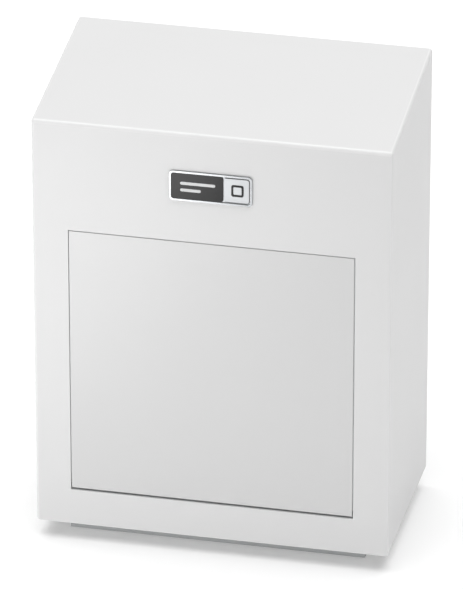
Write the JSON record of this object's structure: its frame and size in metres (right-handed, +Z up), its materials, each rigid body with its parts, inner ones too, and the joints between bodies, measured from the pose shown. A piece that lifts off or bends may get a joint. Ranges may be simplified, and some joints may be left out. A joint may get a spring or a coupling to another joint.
{
  "type": "wall-mounted ventilation unit",
  "caption": "White sheet-steel ventilation unit with sloping top, flush tip-down service panel, radial fan, rear duct spigot with flaps and a filter drawer in the plinth.",
  "frame": {"origin": "on the underside of the plinth, in the middle of the overall width and depth", "axes": "+X to the right seen from the front, +Y towards the wall, +Z up"},
  "size_m": [0.35, 0.23, 0.473],
  "materials": {
    "white_coat": "fine textured white powder coat, satin",
    "panel_coat": "smooth white coat, slightly glossier than the casing",
    "inner_coat": "thin white coat",
    "zinc_sheet": "galvanised sheet",
    "plinth_coat": "grey coat",
    "foam": "open-cell foam",
    "screws": "bright zinc",
    "bright_rim": "polished",
    "badge_dark": "gloss",
    "badge_light": "satin",
    "badge_mark": "satin",
    "black_plastic": "fine grain",
    "grey_plastic": "fine grain",
    "impeller_plastic": "glass-filled",
    "spring_wire": "wire",
    "cast_alloy": "die cast",
    "core_steel": "laminations",
    "rotor_steel": "black passivated",
    "copper": "enamelled wire",
    "bearing_steel": "ground",
    "rubber": "moulded",
    "flap_sheet": "rolled",
    "box_plastic": "light grey",
    "cream_plastic": "plain",
    "capacitor_case": "plain",
    "filter_fleece": "pleated fleece"
  },
  "bodies": {
    "casing": {"hood": "white_coat", "panel_frame": "inner_coat", "back_plate": "zinc_sheet", "base_tray": "inner_coat", "intake_plinth": "plinth_coat", "drawer_runners": "zinc_sheet", "panel_seal": "foam", "casing_screws": "screws", "badge_bezel": "bright_rim", "badge_dark_field": "badge_dark", "badge_light_field": "badge_light", "badge_marks": "badge_mark", "hinge_pins": "screws", "latch_housings": "black_plastic", "latch_springs": "spring_wire", "acoustic_lining": "foam", "scroll_housing": "zinc_sheet", "scroll_cover": "zinc_sheet", "cover_screws": "screws", "inlet_ring": "black_plastic", "finger_guard": "spring_wire", "motor_plate": "cast_alloy", "motor_stator": "core_steel", "motor_windings": "copper", "shaft_bearings": "bearing_steel", "motor_screws": "screws", "rubber_mounts": "rubber", "mount_nuts": "screws", "outlet_duct": "zinc_sheet", "duct_spigot": "black_plastic", "spigot_screws": "screws", "flap_axle": "bearing_steel", "flap_spring": "spring_wire", "wall_seal": "foam", "terminal_box": "box_plastic", "terminal_cover": "box_plastic", "terminal_screws": "screws", "terminal_block": "cream_plastic", "run_capacitor": "capacitor_case", "capacitor_clamp": "zinc_sheet", "cable_grommet": "rubber", "motor_lead": "rubber"},
    "service_panel": {"front_panel": "panel_coat", "panel_insulation": "foam", "hinge_leaves": "zinc_sheet", "latch_strikers": "zinc_sheet"},
    "filter_drawer": {"drawer_front": "plinth_coat", "drawer_frame": "black_plastic", "filter_grille": "grey_plastic", "filter_mat": "filter_fleece"},
    "fan_rotor": {"motor_rotor": "rotor_steel", "motor_shaft": "bearing_steel", "impeller": "impeller_plastic", "impeller_ring": "spring_wire"},
    "left_flap": {"flap_left": "flap_sheet"},
    "right_flap": {"flap_right": "flap_sheet"},
    "left_latch": {"latch_plunger_left": "grey_plastic"},
    "right_latch": {"latch_plunger_right": "grey_plastic"}
  },
  "joints": [
    {"name": "panel_hinge", "type": "hinge", "parent": "casing", "child": "service_panel", "pos_m": [0, -0.1095, 0.0605], "axis": [1, 0, 0], "range_deg": [0, 100]},
    {"name": "drawer_slide", "type": "slide", "parent": "casing", "child": "filter_drawer", "axis": [0, -1, 0], "range_m": [0, 0.12]},
    {"name": "rotor_spin", "type": "hinge", "parent": "casing", "child": "fan_rotor", "pos_m": [-0.04, 0.03, 0.19], "axis": [0, 1, 0], "continuous": true},
    {"name": "left_flap_hinge", "type": "hinge", "parent": "casing", "child": "left_flap", "pos_m": [0, 0.064, 0.365], "axis": [0, 0, 1], "range_deg": [-75, 0], "stiffness_Nm_per_rad": 0.004},
    {"name": "right_flap_hinge", "type": "hinge", "parent": "casing", "child": "right_flap", "pos_m": [0, 0.064, 0.365], "axis": [0, 0, 1], "range_deg": [0, 75], "stiffness_Nm_per_rad": 0.004},
    {"name": "left_latch_travel", "type": "slide", "parent": "casing", "child": "left_latch", "axis": [0, 1, 0], "range_m": [0, 0.0025], "stiffness_N_per_m": 800, "deforming": ["latch_springs"]},
    {"name": "right_latch_travel", "type": "slide", "parent": "casing", "child": "right_latch", "axis": [0, 1, 0], "range_m": [0, 0.0025], "stiffness_N_per_m": 800, "deforming": ["latch_springs"]}
  ],
  "couplings": [
    {"joint": "left_flap_hinge", "follows": "right_flap_hinge", "ratio": -1}
  ]
}
